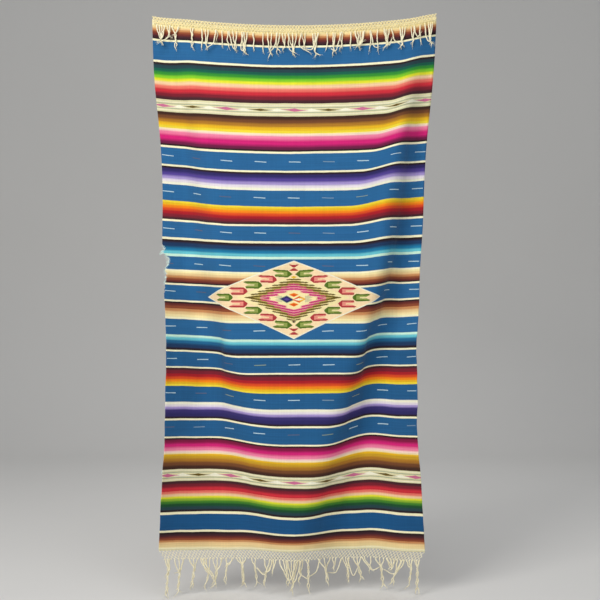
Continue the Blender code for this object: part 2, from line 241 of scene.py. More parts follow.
TOP_LOOPS = (
    (-478, 0, -484, 40, -508, 58, 1),
    (-446, 0, -452, 18, -462, 28, 0),
    (-302, 0, -310, 48, -333, 68, 1),
    (-252, 0, -238, 58, -228, 70, 0),
    (-196, 0, -206, 62, -190, 76, 0),
    (-66, 0, -76, 50, -92, 70, 1),
    (-24, 0, -20, 60, 2, 76, 1),
    (26, 0, 20, 50, 56, 74, 1),
    (92, 0, 70, 60, 44, 62, 0),
    (180, 0, 160, 70, 142, 66, 1),
    (232, 0, 246, 52, 262, 40, 1),
    (268, 0, 256, 54, 242, 58, 0),
    (292, 0, 304, 58, 316, 66, 0),
    (345, 0, 362, 62, 372, 40, 1),
    (372, 0, 384, 44, 402, 58, 0),
    (458, 0, 470, 42, 484, 30, 1),
    (500, 0, 508, 60, 526, 70, 0),
)

# The knotted net
MESH_PITCH = 0.0120  # between the knots of one row
KNOT_ROW = 0.0077  # from one row of knots to the next
FIRST_KNOTS = 0.0016  # from the woven edge to the first row
KNOT_SIZE = (0.0024, 0.0021, 0.0020)
KNOT_STRAY = 0.0009  # how far a knot lies from its even place
CORD_BOW, CORD_OVER = 0.0007, 0.0006  # how far a cord bows, and how far it lies over its neighbour
TOP_CORD, BOTTOM_CORD = 0.0015, 0.00118  # radii of the cords of the nets
STRAND_RADIUS = 0.0028
STRAND_END = 0.0020
KINK = 0.0024  # how far a knotted and washed strand strays from its line
TWIST_PITCH = 0.0115
BUNDLE_PITCH = 0.034
PLY_OFF, PLY_THICK = 0.5, 0.62  # a ply's distance from the middle and radius, by the strand's own
# The loose fibres at a cord's end: their number, lean, bend, length from and by, and radius.
FIBRES, FIBRE_LEAN, FIBRE_BEND = 5, 0.42, 0.0022
FIBRE_LENGTH = (0.007, 0.009)
FIBRE_RADIUS = (0.0006, 0.00022)
STRAND_STEP = 0.0028
PLY_SIDES = 5
BUNDLE_RADIUS = (0, 0.0022, 0.0028, 0.0034)  # for a lock of one, two, three or four strands

# Yarn colours, as they look in daylight. "sea" and "deep" are the blue darkened as painted shade, for
# the lower bands that get less light.
YARNS = {
    "black": (44, 28, 34), "blue": (42, 101, 154), "sea": (36, 92, 142), "deep": (27, 84, 136),
    "cream": (254, 244, 208), "ecru": (226, 217, 176), "ivory": (246, 240, 220),
    "slate": (38, 66, 74), "teal": (24, 92, 76), "green": (52, 142, 52), "lime": (128, 200, 44),
    "lemon": (232, 226, 52), "peach": (248, 204, 164), "coral": (236, 118, 104),
    "red": (208, 46, 60), "maroon": (126, 32, 48), "umber": (70, 36, 44), "cocoa": (108, 46, 42),
    "bark": (66, 40, 32), "brown": (116, 70, 42), "bronze": (176, 120, 40), "gold": (236, 182, 34),
    "yellow": (244, 216, 60), "blush": (250, 216, 204), "pink": (242, 128, 166),
    "magenta": (214, 34, 120), "plum": (110, 28, 70), "pine": (28, 80, 46), "grass": (66, 128, 44),
    "meadow": (150, 186, 52), "steel": (34, 100, 146), "flax": (238, 210, 158),
    "mustard": (204, 158, 42), "wine": (132, 24, 68), "violet": (60, 50, 114),
    "indigo": (48, 42, 100), "purple": (84, 66, 148), "lavender": (166, 146, 208),
    "lilac": (232, 220, 232), "orange": (246, 136, 26), "vermilion": (224, 76, 34),
    "crimson": (172, 30, 40), "navy": (30, 58, 98), "cyan": (30, 120, 166), "aqua": (104, 194, 212),
    "mint": (208, 240, 222), "sand": (240, 204, 150), "straw": (250, 230, 174),
    "tan": (204, 140, 92), "russet": (142, 72, 48), "pale": (186, 208, 220), "dusk": (94, 98, 124),
    "mist": (124, 146, 168), "sage": (138, 152, 138), "rose": (206, 110, 150),
    "moss": (104, 84, 34), "olive": (186, 164, 88), "carnation": (236, 146, 166),
    "leaf": (84, 112, 34), "bud": (150, 162, 84), "brick": (180, 56, 62), "salmon": (238, 146, 132),
    "apricot": (254, 222, 180), "butter": (252, 232, 176), "fuchsia": (200, 48, 112),
    "thread": (226, 236, 238),
}  # fmt: skip
# The cotton's pale and dark colours; the dark one is also painted shade in the twist's grooves.
COTTON_LIGHT = (255, 250, 222)
COTTON_DARK = (244, 226, 180)
# Dust, which also stands for painted shade on the less lit bottom cords.
COTTON_DUST_AND_SHADE = (190, 176, 150)
PAINTED_SUNLIGHT_TINT = (1.0, 0.94, 0.74, 1.0)  # painted warm sunlight: a tint on the top net beside its strands

# The graded bands: each yarn and its share of the band, from the band's top in the upper half.
GRADES = {
    "cream": (("cream", 1),),
    "blue": (("blue", 1),),
    "sea": (("sea", 1),),
    "deep": (("deep", 1),),
    "ecru": (("ecru", 1),),
    "heading": (
        ("cream", 6), ("straw", 3), ("cream", 3), ("straw", 10), ("sand", 6), ("tan", 8),
        ("russet", 8), ("cocoa", 7), ("umber", 8), ("black", 7),
    ),
    "hem": (
        ("black", 8), ("umber", 7), ("cocoa", 6), ("russet", 7), ("tan", 7), ("sand", 8),
        ("flax", 11), ("cream", 9),
    ),
    "spectrum": (
        ("black", 7), ("slate", 14), ("teal", 11), ("green", 14), ("lime", 12), ("lemon", 11),
        ("peach", 14), ("coral", 12), ("red", 17), ("maroon", 15), ("umber", 13),
    ),
    "harvest": (
        ("bark", 13), ("brown", 15), ("bronze", 14), ("gold", 13), ("yellow", 10), ("straw", 4),
        ("blush", 6), ("pink", 13), ("magenta", 28), ("plum", 13), ("black", 6),
    ),
    "iris": (
        ("black", 6), ("indigo", 16), ("purple", 15), ("lavender", 13), ("lilac", 10),
        ("ivory", 10),
    ),
    "sunset": (
        ("yellow", 7), ("gold", 9), ("orange", 10), ("vermilion", 10), ("crimson", 12),
        ("maroon", 12), ("umber", 9),
    ),
    "low_spectrum": (
        ("black", 8), ("slate", 16), ("pine", 13), ("grass", 12), ("meadow", 12), ("lemon", 7),
        ("peach", 13), ("coral", 12), ("red", 17), ("maroon", 16), ("umber", 13),
    ),
    "low_harvest": (
        ("bark", 14), ("brown", 17), ("bronze", 13), ("mustard", 13), ("gold", 6), ("straw", 4),
        ("blush", 8), ("pink", 15), ("magenta", 17), ("wine", 18), ("black", 5),
    ),
    "low_iris": (
        ("black", 6), ("indigo", 20), ("violet", 15), ("lavender", 9), ("lilac", 10),
        ("ivory", 11),
    ),
    "low_sunset": (
        ("yellow", 8), ("gold", 8), ("orange", 10), ("vermilion", 10), ("crimson", 12),
        ("maroon", 15), ("umber", 8),
    ),
    "lagoon": (("black", 9), ("navy", 22), ("cyan", 12), ("aqua", 12), ("mint", 10)),
    "low_lagoon": (("black", 8), ("navy", 20), ("steel", 15), ("aqua", 12), ("mint", 9)),
    "dawn": (
        ("cream", 6), ("straw", 8), ("sand", 9), ("tan", 9), ("russet", 9), ("cocoa", 7),
        ("black", 5),
    ),
}  # fmt: skip

# The bands down the cloth: the grade, where it ends in millimetres, and -1 where it is reversed.
BANDS = (
    ("heading", 66, 1), ("cream", 73, 1), ("blue", 141, 1), ("cream", 149, 1),
    ("spectrum", 290, 1), ("ecru", 340, 1), ("harvest", 476, 1), ("cream", 484, 1),
    ("blue", 550, 1), ("cream", 557, 1), ("iris", 627, 1), ("blue", 688, 1),
    ("sunset", 757, 1), ("cream", 764, 1), ("blue", 821, 1), ("cream", 829, 1),
    ("lagoon", 889, 1), ("blue", 938, 1), ("dawn", 991, 1), ("cream", 998, 1),
    ("blue", 1057, 1), ("cream", 1064, 1), ("dawn", 1134, -1), ("blue", 1196, 1),
    # From here down the blue bands are "sea" and "deep": the blue with painted shade.
    ("low_lagoon", 1257, -1), ("cream", 1264, 1), ("sea", 1322, 1), ("cream", 1328, 1),
    ("low_sunset", 1399, -1), ("sea", 1460, 1), ("low_iris", 1524, -1), ("cream", 1531, 1),
    ("sea", 1594, 1), ("cream", 1600, 1), ("low_harvest", 1716, -1), ("ecru", 1758, 1),
    ("low_spectrum", 1868, -1), ("cream", 1877, 1), ("deep", 1932, 1), ("cream", 1939, 1),
    ("hem", 2002, 1),
)  # fmt: skip
STRIPES_PER_RAMP = 15
BAND_BLEND = 0.4  # millimetres by which a band blends into the next
BLENDED = 0.32  # the share of a graded stripe that blends into its neighbour, on each side

# Inlaid motifs, in metres
MOTIF_PITCH = 0.131
# The rows of dashes, in millimetres: how far down each lies, how far to the right of the pitch, and
# how many hundredths it slants down to the right.
DASH_COLUMNS = ("down", "shift", "slant")
DASH_ROWS = (
    (516, 1, 4), (655, -3, 3), (790, 0, 3), (915, -3, 5), (1022, 2, 3), (1163, -3, -4),
    (1292, 0, -3), (1425, -2, 1), (1557, -3, -3),
)  # fmt: skip
DASH_HALF = (0.0225, 0.0016)
DASHES_ACROSS = 9
# The dashes that aren't pale: row, place along the row, yarn
DULL_DASHES = (
    (0, 1, "dusk"), (0, 5, "mist"), (1, 2, "dusk"), (1, 5, "mist"), (1, 6, "sage"), (2, 1, "dusk"),
    (2, 4, "dusk"), (2, 5, "mist"), (3, 0, "dusk"), (3, 3, "dusk"), (3, 5, "dusk"), (4, 1, "dusk"),
    (5, 2, "dusk"), (6, 2, "dusk"), (6, 3, "sage"), (6, 6, "sage"), (7, 1, "dusk"), (7, 2, "sage"),
    (7, 5, "mist"), (7, 6, "sage"), (8, 0, "dusk"), (8, 1, "mist"), (8, 4, "dusk"), (8, 5, "sage"),
    (8, 8, "mist"),
)  # fmt: skip
LOZENGE_ROWS = (0.3155, 1.7365)
# Each lozenge is a thick short diamond over a thin long one: half length and half height.
ROSE_LOZENGE = ((0.036, 0.0066), (0.056, 0.0044))
MOSS_LOZENGE = ((0.032, 0.0048), (0.052, 0.0036))
WHITE_LENS = (0.042, 0.0062)
LENS_SLANT = 0.10
LOZENGE_SLANT = 0.03
CHANNEL_LINES = (0.0095, 0.0165)  # thin lines beside the row of lozenges
CHANNEL_HALF = 0.0015

# The medallion
MEDALLION_AT = (-0.002, 1.0440)
MEDALLION_HALF = (0.354, 0.1495)
MEDALLION_SIDES = (1.011, 0.968)  # its left side is woven a little longer than its right
MEDALLION_RISE = (0.0090, 0.42)  # it bows up beside its middle: how far, and over what length
MEDALLION_EDGE = 0.026
MEDALLION_PALE = 0.62  # the share of it, from its middle, whose ground is paler
GLASS_AT, GLASS_HALF, GLASS_SLOPE = 0.1215, 0.0118, 1.6  # the hourglass at its top and bottom
INNER_HALF = (0.188, 0.0885)
PINK_HALF = (0.141, 0.0690)
HEART_HALF = (0.098, 0.0415)
BAR = 0.0092
BAR_LEAN = 0.13
BAR_DARK = 0.27
BAR_TAPER = 0.009
TOOTH = 0.92
WEAVE_STEP = 0.0013  # the smallest step of a woven outline
BUD_STEP = (0.0553, 0.0243)
BUD_FIRST = 0.264
BUD_HALF = (0.038, 0.0138)
BUDS_PER_SIDE = 5
BUD_POINT = 1.35  # how blunt its inner point is
PRONG_AT, PRONG_SLOPE = 0.0100, 2.2  # how far from its middle line its two outer prongs lie
# How far the light petal and the pale slit in it reach to each side, and how far inwards.
PETAL = (0.0078, -0.018)
SLIT = (0.0028, -0.004)
# The small marks above and below the inner diamond, and the figures in its heart: place, half
# size and yarn.
FIGURES = (
    (0.0, -0.086, (0.013, 0.0045), "gold"), (0.0, 0.084, (0.010, 0.0035), "umber"),
    (-0.027, 0.0, (0.030, 0.0145), "sage"), (-0.027, 0.0, (0.025, 0.0122), "indigo"),
    (-0.027, 0.0, (0.012, 0.0055), "purple"), (0.0, -0.0185, (0.019, 0.0080), "orange"),
    (0.0, 0.0185, (0.019, 0.0080), "orange"), (0.0, -0.0175, (0.013, 0.0042), "vermilion"),
    (0.0, 0.0195, (0.013, 0.0042), "vermilion"), (0.021, 0.0, (0.027, 0.0125), "vermilion"),
    (0.026, 0.0, (0.020, 0.0090), "gold"), (0.019, 0.0, (0.019, 0.0046), "ivory"),
)  # fmt: skip

# The weave and the twist of the cords
RIB_PITCH = 0.0034
PICK_PITCH = 0.0013
BAND_WAVE, PICK_WANDER = 0.006, 0.0016  # how far a whole band waves, and how far one pick strays
YARN_TWIST = 0.0034
GREENER = (0.96, 1.06, 0.90, 1.0)

# Studio
FLOOR_COLOUR = (0.70, 0.69, 0.67, 1.0)
FLOOR_DROP = 0.006  # how far below the lowest strand the floor lies
FLOOR_FRONT, FLOOR_HALF = -9.0, 11.0
SWEEP_STARTS, SWEEP_RADIUS, BACKDROP_HEIGHT = 3.4, 1.6, 9.0
SKY = ((0.93, 0.96, 1.0, 1.0), 0.34)
CAMERA_AT = (0.0212, -4.0, -1.0857)
CAMERA_LENS = (62.34, 36)  # the focal length and the sensor's width, in millimetres
# The lamps: name, place, what it points at, size, power and colour.
LAMPS = (
    ("key", (-2.3, -3.0, 1.6), (0, 0, -0.7), 1.9, 118, (1.0, 0.98, 0.95)),
    ("fill", (2.8, -4.4, -0.2), (0, 0, -1.2), 2.6, 34, (0.96, 0.98, 1.0)),
    ("low", (-0.5, -2.3, -1.75), (0, 0, -2.15), 1.3, 6, (1.0, 0.98, 0.94)),
    ("top", (0.0, -1.2, 2.6), (0, 0.2, -1.0), 1.8, 30, (1.0, 1.0, 1.0)),
    ("back", (1.2, 2.6, 1.4), (0, 0, -1.0), 1.6, 32, (1.0, 1.0, 1.0)),
)


def daylight(colour):
    """The linear colour of one that is given as it looks on a screen."""
    return tuple(
        c / 255 / 12.92 if c <= 10 else ((c / 255 + 0.055) / 1.055) ** 2.4 for c in colour
    ) + (1.0,)


def column(table, columns, name, at):
    """One column of a table in millimetres, as a smooth curve in metres over its first column."""
    rows = np.array(table, float) / 1000
    x, y = rows[:, 0], rows[:, columns.index(name)]
    slopes = np.diff(y) / np.diff(x)
    tangents = np.concatenate([slopes[:1], (slopes[:-1] + slopes[1:]) / 2, slopes[-1:]])
    i = np.clip(np.searchsorted(x, at) - 1, 0, len(x) - 2)
    span = x[i + 1] - x[i]
    t = (at - x[i]) / span
    return (
        y[i] * (1 + 2 * t) * (1 - t) ** 2
        + tangents[i] * span * t * (1 - t) ** 2
        + y[i + 1] * t * t * (3 - 2 * t)
        + tangents[i + 1] * span * t * t * (t - 1)
    )


def unit(vectors):
    """Each vector at a length of 1."""
    return vectors / np.linalg.norm(vectors, axis=-1, keepdims=True)


def step(at, centre, width):
    """Rises smoothly from 0 to 1 over the given width."""
    t = np.clip((at - centre) / width + 0.5, 0, 1)
    return t * t * (3 - 2 * t)


HALF = PANEL_WIDTH / 2
FINE_ACROSS = np.linspace(-HALF, HALF, 401)
FINE_DOWN = np.linspace(0, PANEL_LENGTH, 402)


def hang():
    """The hung cloth on a fine grid of places across and down it: its x, y and z in metres."""
    across, down = np.meshgrid(FINE_ACROSS, FINE_DOWN)
    d = {name: column(DRAPE, DRAPE_COLUMNS, name, down) for name in DRAPE_COLUMNS[1:]}
    fold_left = step(-across, -d["fold_at_left"], d["fold_wide_left"])
    fold_right = step(across, d["fold_at_right"], d["fold_wide_right"])
    rise_left = step(-across, -d["rise_at_left"], d["fold_wide_left"])
    rise_right = step(across, d["rise_at_right"], d["fold_wide_right"])
    outer = np.clip((np.abs(across) - CURL_STARTS) / (HALF - CURL_STARTS), 0, 1) ** CURL_POWER
    curl = np.where(across < 0, d["curl_left"], d["curl_right"])
    y = d["fold_deep_left"] * fold_left + d["fold_deep_right"] * fold_right
    y = y - d["front"] - curl * outer
    z = d["bow"] * (across / HALF) ** 2 - GRIP_TO_WEAVE - down
    z = z + d["rise_left"] * rise_left + d["rise_right"] * rise_right
    slope_y = np.gradient(y, FINE_ACROSS, axis=1)
    slope_z = np.gradient(z, FINE_ACROSS, axis=1)
    run = np.sqrt(np.clip(1 - slope_y**2 - slope_z**2, STEEPEST, 1))
    steps = (run[:, 1:] + run[:, :-1]) / 2 * np.diff(FINE_ACROSS)
    x = np.concatenate([np.zeros((len(run), 1)), np.cumsum(steps, axis=1)], axis=1)
    x = x - x[:, [len(FINE_ACROSS) // 2]]
    x = x * (1 - HEM_DRAW_IN * (down / PANEL_LENGTH) ** 2)
    slope_down = np.gradient(y, FINE_DOWN, axis=0)
    z = z + np.cumsum(slope_down**2 / 2, axis=0) * FINE_DOWN[1]
    return np.stack([x, y, z], axis=2)


def relief():
    """How far each place of the fine grid stands out to the front of the hung form."""
    across, down = np.meshgrid(FINE_ACROSS, FINE_DOWN)
    out = np.zeros_like(across)
    for row in CREASES:
        c = {k: v / 1000 for k, v in zip(CREASE_COLUMNS, row)}
        ax, ay = c["across_to"] - c["across_from"], c["down_to"] - c["down_from"]
        length = math.hypot(ax, ay)
        dx, dy = across - c["across_from"], down - c["down_from"]
        along = (dx * ax + dy * ay) / length
        aside = (dx * ay - dy * ax) / length
        fade = CREASE_FADE + c["wide"]
        ends = step(along, fade / 2, fade) * step(length - along, fade / 2, fade)
        out += c["high"] * ends * np.exp(-((aside / c["wide"] * 2) ** 2))
    for wide, tall, turn, share in COCKLE_WAVES:
        out += COCKLE * share * np.sin(2 * math.pi * (across * wide / 2 + down * tall / 2) + turn)
    edge = np.exp(-(((HALF - np.abs(across)) / 0.03) ** 2))
    side = np.where(across < 0, 0.7, 2.1)
    out += SELVEDGE_WAVE * edge * np.sin(2 * math.pi * down * 7.3 + side * 3)
    out += SELVEDGE_WAVE * 0.6 * edge * np.sin(2 * math.pi * down * 17.9 + side)
    return out


def front_normals(points):
    """The unit normals towards the viewer of a grid of points."""
    side = np.gradient(points, axis=1)
    fall = np.gradient(points, axis=0)
    return unit(np.cross(side, -fall))


HUNG = hang()
FORM_NORMALS = front_normals(HUNG)
DRESSED = HUNG + FORM_NORMALS * relief()[:, :, None]
NORMALS = front_normals(DRESSED)


def at_grid(grid, across, down):
    """The values of a fine grid at arrays of places across and down the cloth."""
    i = np.interp(across, FINE_ACROSS, np.arange(len(FINE_ACROSS)))
    j = np.interp(down, FINE_DOWN, np.arange(len(FINE_DOWN)))
    a = np.minimum(i.astype(int), len(FINE_ACROSS) - 2)
    b = np.minimum(j.astype(int), len(FINE_DOWN) - 2)
    s, t = (i - a)[..., None], (j - b)[..., None]
    top = grid[b, a] * (1 - s) + grid[b, a + 1] * s
    low = grid[b + 1, a] * (1 - s) + grid[b + 1, a + 1] * s
    return top * (1 - t) + low * t


def at_point(grid, across, down):
    return at_grid(grid, np.array(float(across)), np.array(float(down)))


def new_object(name, mesh, *materials):
    made = bpy.data.objects.new(name, mesh)
    bpy.context.scene.collection.objects.link(made)
    for material in materials:
        mesh.materials.append(material)
    mesh.shade_smooth()
    return made


# The cloth


def tear_depth(down):
    """How far in the left selvedge is torn, in metres."""
    places, depths = np.array(TEAR).T / 1000
    return np.interp(down, places, depths)


def cloth_lines():
    """Where the columns and rows of the cloth's mesh lie, closer together along the tear."""
    fine = np.linspace(-HALF, -HALF + 0.03, 11)
    acrosses = np.concatenate([fine[:-1], np.linspace(-HALF + 0.03, HALF, 139)])
    downs = np.concatenate([
        np.linspace(0, 0.845, 104)[:-1],
        np.linspace(0.845, 1.05, 62)[:-1],
        np.linspace(1.05, PANEL_LENGTH, 117),
    ])
    return acrosses, downs


def cloth(wool):
    """A thin shell on the hung form, woven alike on both faces."""
    acrosses, downs = cloth_lines()
    across, down = np.meshgrid(acrosses, downs)
    tear = tear_depth(down)
    ragged = RAGGED * np.sin(down * 2410) * np.sin(down * 977 + 1) * (tear > 0.001)
    kept = np.clip(1 - (across + HALF) / TEAR_REACH, 0, 1)
    moved = across + (tear + ragged) * kept
    points = at_grid(DRESSED, moved, down)
    normals = unit(at_grid(NORMALS, moved, down))
    rows, columns = across.shape
    front = points + normals * PANEL_WALL / 2
    back = points - normals * PANEL_WALL / 2
    verts = np.concatenate([front.reshape(-1, 3), back.reshape(-1, 3)])
    n = rows * columns
    index = np.arange(n).reshape(rows, columns)
    a, b = index[:-1, :-1].ravel(), index[:-1, 1:].ravel()
    c, d = index[1:, 1:].ravel(), index[1:, :-1].ravel()
    faces = [np.stack([a, d, c, b], 1), np.stack([a, b, c, d], 1) + n]
    rim = np.concatenate([index[0, :], index[1:, -1], index[-1, -2::-1], index[-2:0:-1, 0]])
    after = np.roll(rim, -1)
    faces.append(np.stack([rim, after, after + n, rim + n], 1))
    faces = np.concatenate(faces)
    mesh = bpy.data.meshes.new("woven_cloth")
    mesh.from_pydata(verts.tolist(), [], faces.tolist())
    flat = np.stack([moved, down], 2).reshape(-1, 2)
    corner = faces.ravel()
    weave = mesh.uv_layers.new(name="weave")
    weave.uv.foreach_set("vector", flat[corner % n].astype(np.float32).ravel())
    # A flat layout of both faces beside each other, with the rim along their borders.
    margin = 0.004
    u = (across + HALF) / PANEL_WIDTH * (0.5 - 2 * margin) + margin
    v = 1 - (down / PANEL_LENGTH * (1 - 2 * margin) + margin)
    layout = np.stack([u, v], 2).reshape(-1, 2)
    both = np.concatenate([layout, layout + (0.5, 0)])[corner].reshape(-1, 4, 2)
    of_rim = slice(2 * len(a), None)
    out_x = 1.0 * (across == acrosses[-1]) - (across == acrosses[0])
    out_y = 1.0 * (down == downs[0]) - (down == downs[-1])
    outward = np.stack([out_x, out_y], 2).reshape(-1, 2) * margin * 0.8
    both[of_rim, 2] = layout[after] + outward[after]
    both[of_rim, 3] = layout[rim] + outward[rim]
    spread = mesh.uv_layers.new(name="OFBake")
    spread.uv.foreach_set("vector", both.astype(np.float32).ravel())
    mesh.uv_layers.active = mesh.uv_layers["weave"]
    return new_object("woven_cloth", mesh, wool)


# Cords


class Ropes:
    """Collects tubes and knots in one mesh, with a map of how far along and around each one lies."""

    def __init__(self):
        self.verts, self.faces, self.maps = [], [], []
        self.count = 0
        self.number = 0

    def tube(self, points, radii, sides=PLY_SIDES, closed_ends=True):
        """One round cord along its points. The last ring closes to a point."""
        points = np.asarray(points, float)
        tangents = unit(np.gradient(points, axis=0))
        length = np.concatenate([[0], np.cumsum(np.linalg.norm(np.diff(points, axis=0), axis=1))])
        aside = np.cross(tangents[0], (0.31, 0.87, 0.12))
        rings = []
        for point, tangent, radius in zip(points, tangents, radii):
            aside = aside - tangent * (aside @ tangent)
            aside /= np.linalg.norm(aside)
            other = np.cross(tangent, aside)
            turn = 2 * math.pi * np.arange(sides) / sides
            spread = np.outer(np.cos(turn), aside) + np.outer(np.sin(turn), other)
            rings.append(point + radius * spread)
        first = self.count
        self.verts.append(np.concatenate(rings))
        for k in range(len(rings) - 1):
            for s in range(sides):
                t = (s + 1) % sides
                low, high = first + k * sides, first + (k + 1) * sides
                self.faces.append((low + s, low + t, high + t, high + s))
                u0, u1 = s / sides, (s + 1) / sides
                v0, v1 = length[k] + self.number, length[k + 1] + self.number
                self.maps += [(u0, v0), (u1, v0), (u1, v1), (u0, v1)]
        self.count += len(rings) * sides
        if closed_ends:
            for ring, tip, at in ((0, points[0], length[0]), (len(rings) - 1, points[-1], length[-1])):
                self.verts.append(tip[None])
                base = first + ring * sides
                for s in range(sides):
                    t = (s + 1) % sides
                    pair = (base + t, base + s) if ring == 0 else (base + s, base + t)
                    self.faces.append((*pair, self.count))
                    self.maps += [(s / sides, at + self.number)] * 3
                self.count += 1
        self.number += 0.37

    def knot(self, centre, axes, size, segments=6):
        """A flattened ball of cord with a waist, for the knots of the net."""
        rings = []
        for k in range(1, 4):
            fall = math.pi * k / 4
            turn = 2 * math.pi * np.arange(segments) / segments
            swell = 1 + 0.14 * np.cos(3 * turn + k)
            x = np.cos(turn) * math.sin(fall) * size[0] * swell
            y = np.sin(turn) * math.sin(fall) * size[1] * swell
            z = np.full(segments, math.cos(fall) * size[2])
            rings.append(centre + np.outer(x, axes[0]) + np.outer(y, axes[1]) + np.outer(z, axes[2]))
        first = self.count
        poles = (centre + axes[2] * size[2], centre - axes[2] * size[2])
        self.verts += [np.concatenate(rings), poles[0][None], poles[1][None]]
        self.count += 3 * segments + 2
        for s in range(segments):
            t = (s + 1) % segments
            around = (s / segments, (s + 1) / segments)
            for k in range(2):
                low, high = first + k * segments, first + (k + 1) * segments
                self.faces.append((low + t, low + s, high + s, high + t))
                v0, v1 = 0.002 * k + self.number, 0.002 * (k + 1) + self.number
                self.maps += [(around[1], v0), (around[0], v0), (around[0], v1), (around[1], v1)]
            self.faces.append((first + s, first + t, self.count - 2))
            self.faces.append((first + 2 * segments + t, first + 2 * segments + s, self.count - 1))
            self.maps += [(around[0], self.number)] * 6
        self.number += 0.11

    def strand(self, points, radius, end, phase):
        """Two plies twisted round each other along the points, with a frayed end."""
        line = resampled(points, STRAND_STEP)
        size = np.linspace(radius, end, len(line))
        tangents = unit(np.gradient(line, axis=0))
        sideways = np.cross(tangents, (0, 1, 0))
        sideways /= np.maximum(np.linalg.norm(sideways, axis=1, keepdims=True), 1e-9)
        fore = np.cross(sideways, tangents)
        along = np.arange(len(line)) * STRAND_STEP
        turn = 2 * math.pi * along / TWIST_PITCH + phase
        for ply in (0, math.pi):
            off = sideways * np.cos(turn + ply)[:, None] + fore * np.sin(turn + ply)[:, None]
            self.tube(line + off * (size * PLY_OFF)[:, None], size * PLY_THICK)
        self.fray(line[-1], tangents[-1])

    def fray(self, tip, direction):
        """The loose fibres at the end of a cord."""
        for k in range(FIBRES):
            lean = Vector(direction) + FIBRE_LEAN * noise.random_unit_vector(size=3)
            length = FIBRE_LENGTH[0] + FIBRE_LENGTH[1] * noise.random()
            bend = FIBRE_BEND * noise.random_unit_vector(size=3)
            t = np.linspace(0, 1, 4)[:, None]
            reach = np.array(lean) * length * t
            path = tip - np.array(direction) * 0.002 + reach + np.array(bend) * t * t
            self.tube(path, np.linspace(*FIBRE_RADIUS, 4), sides=3, closed_ends=False)

    def mesh(self, name):
        made = bpy.data.meshes.new(name)
        made.from_pydata(np.concatenate(self.verts).tolist(), [], self.faces)
        layer = made.uv_layers.new(name="cord")
        layer.uv.foreach_set("vector", np.array(self.maps, np.float32).ravel())
        return made


def resampled(points, pitch):
    """A smooth curve through the points, as places an even pitch apart."""
    points = np.asarray(points, float)
    ends = np.vstack([2 * points[0] - points[1], points, 2 * points[-1] - points[-2]])
    t = np.linspace(0, 1, 12, endpoint=False)[:, None]
    parts = []
    for a, b, c, d in zip(ends, ends[1:], ends[2:], ends[3:]):
        squared = 2 * a - 5 * b + 4 * c - d
        cubed = 3 * b - 3 * c + d - a
        parts.append(0.5 * (2 * b + (c - a) * t + squared * t**2 + cubed * t**3))
    fine = np.vstack([*parts, points[-1:]])
    length = np.concatenate([[0], np.cumsum(np.linalg.norm(np.diff(fine, axis=0), axis=1))])
    even = np.linspace(0, length[-1], max(4, int(length[-1] / pitch) + 1))
    return np.stack([np.interp(even, length, fine[:, k]) for k in range(3)], axis=1)


def kinked(line, seed, size):
    """The same line with the small kinks of a cord that was knotted and washed."""
    out = []
    for k, point in enumerate(np.asarray(line, float)):
        share = min(1, k / 3)
        shake = noise.noise_vector(Vector((seed * 3.1, point[2] * 62, seed * 1.7)))
        out.append(point + np.array((shake.x, shake.y * 0.5, 0)) * size * share)
    return np.array(out)


def bottom_surface(edge, at):
    """The lower net goes straight down from the hem, a little narrower towards its free edge."""
    hem_x = edge / NET_END_SLANT
    across = np.interp(hem_x, HUNG[-1][:, 0], FINE_ACROSS)
    inward = (edge - hem_x) * at / NET_HEIGHT
    middle = at_point(HUNG, across, PANEL_LENGTH) + np.array([inward, 0, -SEAM_GAP - at])
    normal = at_point(FORM_NORMALS, across, PANEL_LENGTH) * (1, 1, 0)
    return middle, normal / np.linalg.norm(normal)


def top_surface(edge, at):
    """The upper net stands up from the woven edge, folds forward over a small round and hangs
    down in front of the cloth."""
    start = at_point(HUNG, np.interp(edge, HUNG[0][:, 0], FINE_ACROSS), 0)
    bend = math.pi * FOLD_RADIUS
    if at <= NET_RISE:
        fore, up, tilt = 0, at, 0
    elif at <= NET_RISE + bend:
        tilt = (at - NET_RISE) / FOLD_RADIUS
        fore = FOLD_RADIUS * (1 - math.cos(tilt))
        up = NET_RISE + FOLD_RADIUS * math.sin(tilt)
    else:
        tilt = math.pi
        fore, up = 2 * FOLD_RADIUS, NET_RISE - (at - NET_RISE - bend)
    middle = start + np.array([0, -fore, SEAM_GAP + up])
    return middle, np.array([0, -math.cos(tilt), -math.sin(tilt)])


def net(ropes, surface, left, right, height, cord):
    """Rows of knots, each joined by cords to the two nearest knots of the next row."""
    rows = np.arange(FIRST_KNOTS, height, KNOT_ROW)
    count = int((right - left) / MESH_PITCH)
    pitch = (right - left) / count
    for r, at in enumerate(rows):
        shift = 0.5 * (r % 2)
        for k in range(count + 1 - r % 2):
            edge = left + pitch * (k + shift)
            shake = noise.noise_vector(Vector((edge * 90, at * 300, 1.5))) * KNOT_STRAY
            centre, normal = surface(edge + shake.x, at + shake.y * 0.6)
            upward = surface(edge, max(at - 0.001, 0))[0] - surface(edge, at + 0.001)[0]
            upward /= np.linalg.norm(upward)
            side = np.cross(upward, normal)
            ropes.knot(centre, (side, normal, upward), KNOT_SIZE)
            if r + 1 == len(rows):
                continue
            for way in (-0.5, 0.5):
                end = edge + way * pitch
                if end < left - 1e-6 or end > right + 1e-6:
                    continue
                path = []
                for t in np.linspace(0, 1, 4):
                    lie = at + (rows[r + 1] - at) * t
                    bow = math.sin(math.pi * t) * CORD_BOW * way
                    place, facing = surface(edge + (end - edge) * t + bow, lie)
                    over = (1 if way > 0 else -1) * CORD_OVER
                    path.append(place + facing * over * math.cos(math.pi * t))
                ropes.tube(path, [cord] * 4, sides=5, closed_ends=False)


